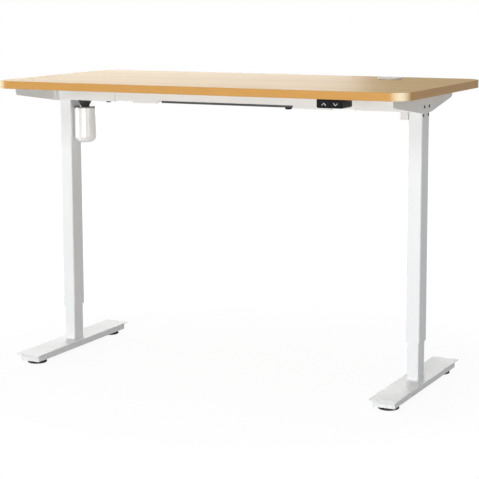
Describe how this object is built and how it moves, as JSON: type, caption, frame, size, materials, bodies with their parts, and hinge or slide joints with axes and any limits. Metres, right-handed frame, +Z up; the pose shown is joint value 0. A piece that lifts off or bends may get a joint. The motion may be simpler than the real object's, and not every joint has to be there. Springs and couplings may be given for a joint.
{
  "type": "height adjustable standing desk",
  "caption": "Standing desk with a light wood top, two telescoping white legs driven by one hanging motor, T feet with levelling pads and a two-button handset.",
  "frame": {"origin": "on the floor, under the middle of the desktop", "axes": "+X to the right along the desktop, +Y to the back, +Z up"},
  "size_m": [1.2, 0.6, 0.805],
  "materials": {
    "desktop_laminate": "satin light wood laminate",
    "edge_band": "satin wood-tone edge band",
    "white_metal": "satin white powder coat",
    "bracket_metal": "satin white powder coat",
    "white_plastic": "satin white",
    "grey_casting": "bead-blasted",
    "dark_metal": "satin dark grey",
    "black_plastic": "satin black",
    "box_grey": "matt dark grey",
    "steel": "zinc plated",
    "motor_white": "gloss white",
    "motor_core": "laminations and windings",
    "brass": "machined",
    "nylon": "machined nylon",
    "board_green": "solder mask",
    "black_rubber": "matt black",
    "screw_black": "black oxide"
  },
  "bodies": {
    "desk_frame": {"desktop": "desktop_laminate", "edge_band": "edge_band", "grommet_ring": "white_plastic", "left_side_bracket": "bracket_metal", "right_side_bracket": "bracket_metal", "left_beam_sleeve": "white_metal", "right_beam_sleeve": "white_metal", "beam_rail": "white_metal", "beam_cover": "white_metal", "beam_lock_screws": "screw_black", "left_gear_housing": "grey_casting", "right_gear_housing": "grey_casting", "left_outer_tube": "white_metal", "right_outer_tube": "white_metal", "left_lower_glide": "white_plastic", "right_lower_glide": "white_plastic", "screw_bearings": "steel", "shaft_bearings": "steel", "motor_can": "motor_white", "motor_flange": "dark_metal", "motor_neck": "dark_metal", "motor_core": "motor_core", "control_box_case": "box_grey", "control_box_lid": "box_grey", "control_board": "board_green", "cable_gland": "black_plastic", "handset_housing": "black_plastic", "handset_back": "black_plastic", "handset_board": "board_green", "desktop_screws": "steel", "frame_screws": "screw_black"},
    "left_base": {"left_inner_tube": "white_metal", "left_nut": "nylon", "left_upper_glide": "white_plastic", "left_foot_plate": "white_metal", "left_foot_base": "white_metal", "left_foot_bolts": "steel"},
    "right_base": {"right_inner_tube": "white_metal", "right_nut": "nylon", "right_upper_glide": "white_plastic", "right_foot_plate": "white_metal", "right_foot_base": "white_metal", "right_foot_bolts": "steel"},
    "cross_shaft": {"drive_shaft": "steel", "motor_shaft_gear": "brass", "left_shaft_gear": "brass", "right_shaft_gear": "brass"},
    "motor_output": {"motor_output_shaft": "steel", "motor_gear": "brass"},
    "left_screw": {"left_lead_screw": "steel", "left_screw_gear": "brass"},
    "right_screw": {"right_lead_screw": "steel", "right_screw_gear": "brass"},
    "grommet_cap": {"grommet_lid": "white_plastic"},
    "up_key": {"up_button": "black_plastic"},
    "down_key": {"down_button": "black_plastic"},
    "left_front_foot_pad": {"left_front_pad": "black_rubber"},
    "left_back_foot_pad": {"left_back_pad": "black_rubber"},
    "right_front_foot_pad": {"right_front_pad": "black_rubber"},
    "right_back_foot_pad": {"right_back_pad": "black_rubber"}
  },
  "joints": [
    {"name": "lift", "type": "slide", "parent": "left_base", "child": "desk_frame", "axis": [0, 0, 1], "range_m": [-0.09, 0.38]},
    {"name": "right_leg_slide", "type": "slide", "parent": "desk_frame", "child": "right_base", "axis": [0, 0, 1], "range_m": [-0.38, 0.09]},
    {"name": "left_screw_turn", "type": "hinge", "parent": "desk_frame", "child": "left_screw", "pos_m": [-0.532, -0.02, 0.5], "axis": [0, 0, 1], "continuous": true},
    {"name": "right_screw_turn", "type": "hinge", "parent": "desk_frame", "child": "right_screw", "pos_m": [0.532, -0.02, 0.5], "axis": [0, 0, 1], "continuous": true},
    {"name": "cross_shaft_turn", "type": "hinge", "parent": "desk_frame", "child": "cross_shaft", "pos_m": [0, -0.02, 0.756], "axis": [1, 0, 0], "continuous": true},
    {"name": "motor_turn", "type": "hinge", "parent": "desk_frame", "child": "motor_output", "pos_m": [-0.4815, -0.02, 0.72], "axis": [0, 0, 1], "continuous": true},
    {"name": "grommet_cap_turn", "type": "hinge", "parent": "desk_frame", "child": "grommet_cap", "pos_m": [0.366, 0.2, 0.802], "axis": [0, 0, 1], "continuous": true},
    {"name": "up_press", "type": "slide", "parent": "desk_frame", "child": "up_key", "axis": [0, 1, 0], "range_m": [0, 0.0008], "stiffness_N_per_m": 1500, "springref_m": -0.0003},
    {"name": "down_press", "type": "slide", "parent": "desk_frame", "child": "down_key", "axis": [0, 1, 0], "range_m": [0, 0.0008], "stiffness_N_per_m": 1500, "springref_m": -0.0003},
    {"name": "left_front_pad_turn", "type": "hinge", "parent": "left_base", "child": "left_front_foot_pad", "pos_m": [-0.532, -0.214, 0], "axis": [0, 0, 1], "continuous": true},
    {"name": "left_back_pad_turn", "type": "hinge", "parent": "left_base", "child": "left_back_foot_pad", "pos_m": [-0.532, 0.174, 0], "axis": [0, 0, 1], "continuous": true},
    {"name": "right_front_pad_turn", "type": "hinge", "parent": "right_base", "child": "right_front_foot_pad", "pos_m": [0.532, -0.214, 0], "axis": [0, 0, 1], "continuous": true},
    {"name": "right_back_pad_turn", "type": "hinge", "parent": "right_base", "child": "right_back_foot_pad", "pos_m": [0.532, 0.174, 0], "axis": [0, 0, 1], "continuous": true}
  ],
  "couplings": [
    {"joint": "right_leg_slide", "follows": "lift", "ratio": -1},
    {"joint": "left_screw_turn", "follows": "lift", "rad_per_m": 785.4},
    {"joint": "right_screw_turn", "follows": "lift", "rad_per_m": -785.4},
    {"joint": "cross_shaft_turn", "follows": "lift", "rad_per_m": 785.4},
    {"joint": "motor_turn", "follows": "lift", "rad_per_m": 785.4}
  ]
}
